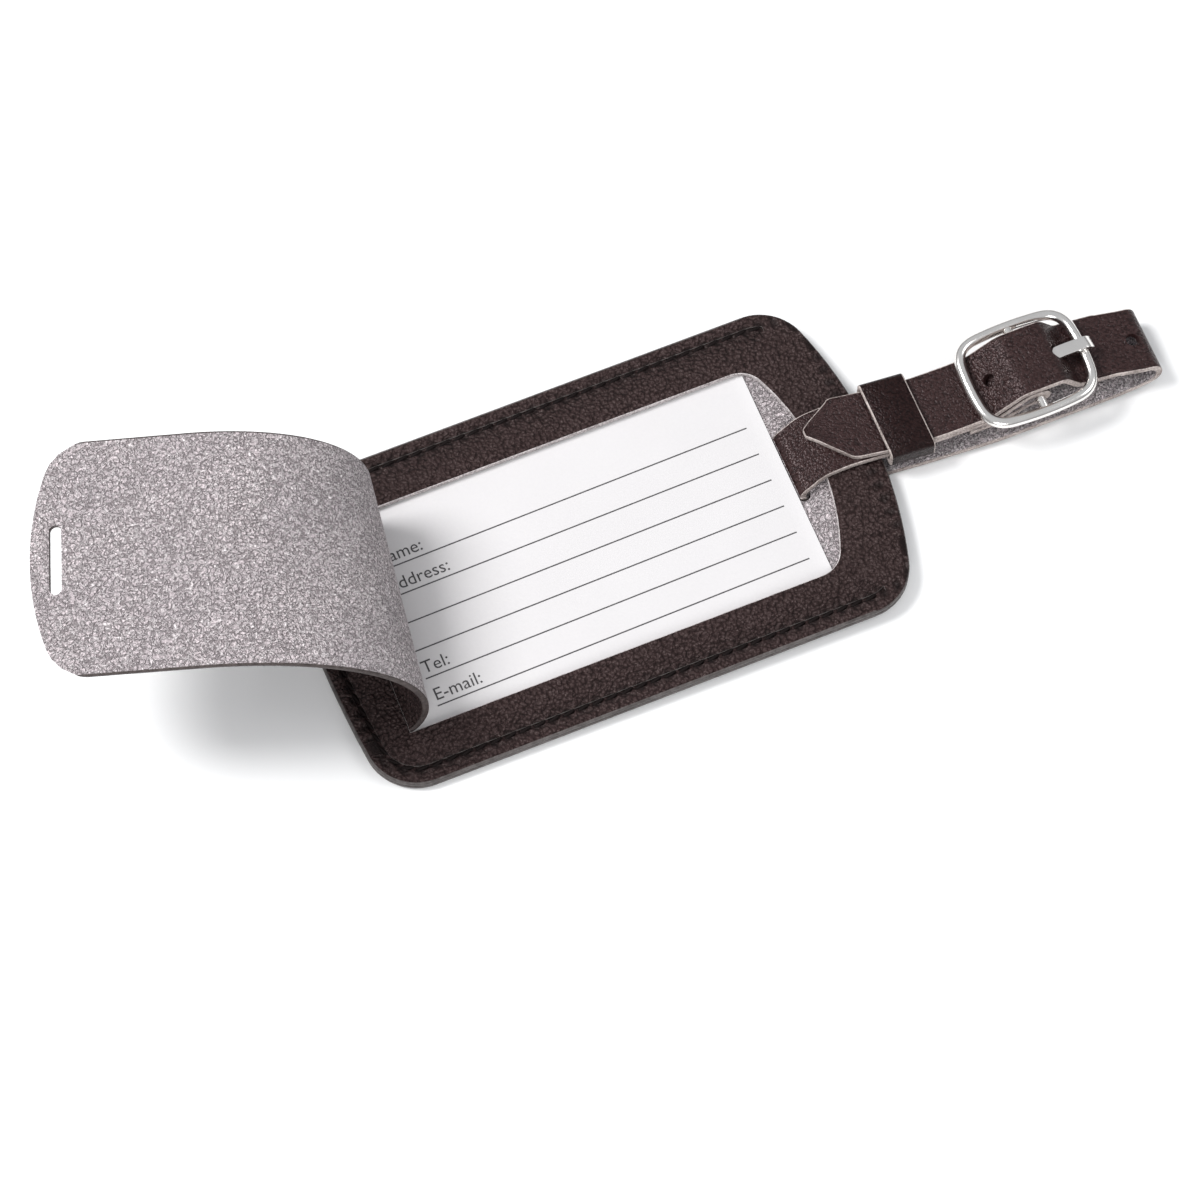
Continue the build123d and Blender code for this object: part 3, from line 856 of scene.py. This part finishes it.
def roundedRoute(points, step):
    # centres of short steps along straight runs and rounded corners: (point, leg of the route)
    out = []
    trimmed = []
    for index, (x, z, r) in enumerate(points):
        here = Vector((x, z)) * mm
        if r == 0:
            trimmed.append((here, here, None, 0))
            continue
        before = (Vector(points[index - 1][:2]) * mm - here).normalized()
        after = (Vector(points[index + 1][:2]) * mm - here).normalized()
        half = before.angle(after) / 2
        back = r * mm / math.tan(half)
        centre = here + (before + after).normalized() * (r * mm / math.sin(half))
        trimmed.append((here + before * back, here + after * back, centre, r * mm))
    for index, (start, end, centre, r) in enumerate(trimmed):
        if centre is not None:
            a, b = start - centre, end - centre
            sweep = a.angle_signed(b)
            count = max(3, math.ceil(abs(sweep) * r / (step * 0.45)), math.ceil(abs(sweep) / 0.16))
            for n in range(count + 1):
                out.append((centre + Matrix.Rotation(-sweep * n / count, 2) @ a, index))
        else:
            out.append((start, index))
        if index + 1 < len(trimmed):
            goal = trimmed[index + 1][0]
            count = max(1, round((goal - end).length / step))
            for n in range(1, count):
                out.append((end.lerp(goal, n / count), index))
    return out


def makeStrap(s):
    path = roundedRoute(s["route"], s["step"])
    points = [point for point, corner in path]
    last = len(points) - 1
    walk = [0.0]
    for a, b in zip(points, points[1:]):
        walk.append(walk[-1] + (b - a).length)
    tangents = [(points[min(last, n + 1)] - points[max(0, n - 1)]).normalized() for n in range(last + 1)]

    def walkAt(leg, x):    # the length walked to where a leg passes x
        choices = [n for n in range(last + 1) if s["legs"][path[n][1]] == leg]
        return walk[min(choices, key=lambda n: abs(points[n].x - x * mm))]

    marks = sorted((walkAt(leg, x), y * mm) for leg, x, y in s["drift"])

    def side(at):    # the drift at a length walked
        if at <= marks[0][0]:
            return marks[0][1]
        for (w0, y0), (w1, y1) in zip(marks, marks[1:]):
            if at <= w1:
                t = (at - w0) / max(1e-9, w1 - w0)
                return y0 + (y1 - y0) * t
        return marks[-1][1]

    raw = [side(w) for w in walk]
    smooth = []
    for w in walk:    # softens the table's corners
        near = [raw[n] for n in range(last + 1) if abs(walk[n] - w) < s["soften"]]
        smooth.append(sum(near) / len(near))

    def along(at):    # the place, direction and drift at a length walked
        at = max(0.0, min(at, walk[-1]))
        low = min(bisect_right(walk, at) - 1, last - 1)
        t = (at - walk[low]) / max(1e-12, walk[low + 1] - walk[low])
        point = points[low].lerp(points[low + 1], t)
        tangent = tangents[low].lerp(tangents[low + 1], t).normalized()
        return point, tangent, smooth[low] + (smooth[low + 1] - smooth[low]) * t

    half = s["width"] / 2

    def taperWidth(at):    # half the width near the tip, with soft shoulders
        if at < s["taper"] - s["shoulderBefore"]:
            share = (at - s["taperFrom"]) / (s["taper"] - s["taperFrom"])
            return min(half, s["apex"] + (half - s["apex"]) * share)
        return half - max(0.0, s["taper"] + s["shoulderAfter"] - at) ** 2 * s["shoulderBend"]

    rows = [(at * mm, width * mm, share) for at, width, share in s["tipRows"]]
    at = s["taperFirst"]
    while at < s["taper"] + s["taperPast"]:
        rows.append((at, taperWidth(at), 1.0))
        at += s["taperStep"]
    taperEnd, tabStart = rows[-1][0] + s["rowGap"], walk[-1] - s["tabRows"][0][0] * mm
    rows += [(at, half, 1.0) for at in walk if taperEnd < at < tabStart]
    rows += [(walk[-1] - back * mm, half, share) for back, share in s["tabRows"]]
    frames = [along(at) for at, width, share in rows]

    def section(width):
        return roundedSection(width, s["leather"], s["edgeRound"], s["across"], s["cornerSteps"])

    rings = [section(width) for at, width, share in rows]
    whole = section(half)
    walkAcross = walkRound(whole)

    def spot(i, j):
        y, height = rings[i][j]
        point, tangent, drift = frames[i]
        raised = point + Vector((-tangent.y, tangent.x)) * height * rows[i][2]
        return Vector((raised.x, drift + y, raised.y))

    def flatAt(i, j):
        return rows[i][0], half + whole[j][0] if j <= s["across"] else walkAcross[j]

    def kindAt(row, column):
        if row < len(s["tipRows"]) - 1 or row > len(rows) - 1 - len(s["tabRows"]):
            return 2
        return (0, 2, 1)[bandOf(column, s["across"], s["cornerSteps"])]

    bm = gridPiece(len(rows) - 1, len(whole) - 1, spot, flatAt, kindAt)
    piece = addPiece("strap", bm, [strapLeather, flapSuede, strapEdge], None,
                     ["strap_slot_turn", "strap_tip", "strap_buckle_end", "strap_loop"])

    for leg, x, length, width, sunk in s["holes"]:
        point, tangent, drift = along(walkAt(leg, x))
        cutter = slotCutter(length * mm, width * mm, (sunk + s["holeRise"]) * mm, 28, 0)
        bmesh.ops.translate(cutter, verts=cutter.verts, vec=(0, 0, (s["holeRise"] - sunk) / 2 * mm))
        turn = Matrix(((tangent.x, 0, -tangent.y), (0, 1, 0), (tangent.y, 0, tangent.x))).to_4x4()
        bmesh.ops.transform(cutter, verts=cutter.verts,
                            matrix=Matrix.Translation((point.x, drift, point.y)) @ turn)
        cutWith(piece, cutter)
    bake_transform(piece)
    print("strap made:", round(walk[-1] / mm), "mm of leather,", len(piece.data.polygons), "faces")


makeStrap(strap)


keeper = {
    "rim": 0.28 * mm, "shift": 0.75 * mm, "slope": -0.085, "middle": 63.75 * mm, "centre": 0.6 * mm,
    "grow": 1.04,
}


def makeKeeper(s):
    bm = nodeMesh("strap_keeper")
    rims = [e for e in sharpEdges(bm, 60) if abs(e.verts[0].co.x - e.verts[1].co.x) < 1e-6]
    bevelEdges(bm, rims, s["rim"], 2)
    bmesh.ops.triangulate(bm, faces=[f for f in bm.faces if len(f.verts) > 8])
    for face in bm.faces:
        face.material_index = 1 if abs(face.normal.x) > 0.3 else 0
    for vert in bm.verts:    # follows the strap's drift
        drift = s["shift"] + (vert.co.x - s["middle"]) * s["slope"]
        vert.co.y = s["centre"] + (vert.co.y - s["centre"]) * s["grow"] + drift
    addPiece("keeper", bm, [keeperLeather, keeperEdge], "keeper", ["strap_keeper"], 50)
    print("keeper made")


makeKeeper(keeper)


buckle = {
    "middle": (91.0 * mm, 0.6 * mm, 7.0 * mm), "reach": 12.0 * mm, "halfWidth": 8.9 * mm, "bow": 0.9 * mm,
    "corner": 4.2 * mm, "knee": 0.12, "sideSteps": 24, "cornerSteps": 10, "wire": 1.1 * mm, "around": 16,
    "wireStep": 0.4 * mm, "barRadius": 1.0 * mm, "barPast": 0.3 * mm, "barRim": 0.15 * mm, "prongRim": 0.14 * mm,
}


def outward(a, b):    # the outer side of a frame side that runs from a to b
    return Vector(((b - a).y, -(b - a).x)).normalized()


def onSide(a, b, t, s):    # a place on a bowed side
    return a.lerp(b, t) + outward(a, b) * (4 * t * (1 - t) * s["bow"])


def makeBuckle(s):
    cx, cy, cz = s["middle"]
    corners = [Vector((cx + sx * (s["reach"] - s["bow"]), cy + sy * s["halfWidth"]))
               for sx, sy in ((-1, -1), (1, -1), (1, 1), (-1, 1))]
    sides = list(zip(corners, corners[1:] + corners[:1]))
    route = []
    for (a, b), (c, d) in zip(sides, sides[1:] + sides[:1]):    # a side, then the corner after it
        trim = s["corner"] / (b - a).length
        for n in range(s["sideSteps"] + 1):
            route.append(onSide(a, b, trim + (1 - 2 * trim) * n / s["sideSteps"], s))
        start, goal = route[-1], onSide(c, d, s["corner"] / (d - c).length, s)
        knee = b + (outward(a, b) + outward(c, d)) * s["bow"] * s["knee"]
        for n in range(1, s["cornerSteps"]):
            t = n / s["cornerSteps"]
            route.append(start.lerp(knee, t).lerp(knee.lerp(goal, t), t))
    count = len(route)
    walk = [0.0]
    for a, b in zip(route, route[1:] + route[:1]):
        walk.append(walk[-1] + (b - a).length)

    def spot(i, j):
        i %= count
        tangent = (route[(i + 1) % count] - route[i - 1]).normalized()
        a = 2 * math.pi * j / s["around"]
        flat = route[i] + Vector((tangent.y, -tangent.x)) * s["wire"] * math.cos(a)
        return Vector((flat.x, flat.y, cz + s["wire"] * math.sin(a)))

    bm = gridPiece(count, s["around"], spot, lambda i, j: (walk[i], j * s["wireStep"]),
                   lambda i, j: 0)
    addPiece("buckle_ring", bm, [nickelPlate], "buckle", ["buckle_frame"], 70)

    bm = bmesh.new()
    bmesh.ops.create_cone(bm, cap_ends=True, segments=24, radius1=s["barRadius"], radius2=s["barRadius"],
                          depth=2 * (s["halfWidth"] + s["barPast"]))
    bmesh.ops.rotate(bm, verts=bm.verts, matrix=Matrix.Rotation(math.pi / 2, 3, "X"))
    bmesh.ops.translate(bm, verts=bm.verts, vec=s["middle"])
    bevelEdges(bm, sharpEdges(bm, 60), s["barRim"], 2)
    addPiece("middle_bar", bm, [nickelPlate], "buckle", ["buckle_bar"])

    bm = nodeMesh("buckle_prong")
    bevelEdges(bm, sharpEdges(bm, 50), s["prongRim"], 2)
    addPiece("prong", bm, [nickelPlate], "prong", ["buckle_prong"], 35)
    print("buckle made")


makeBuckle(buckle)
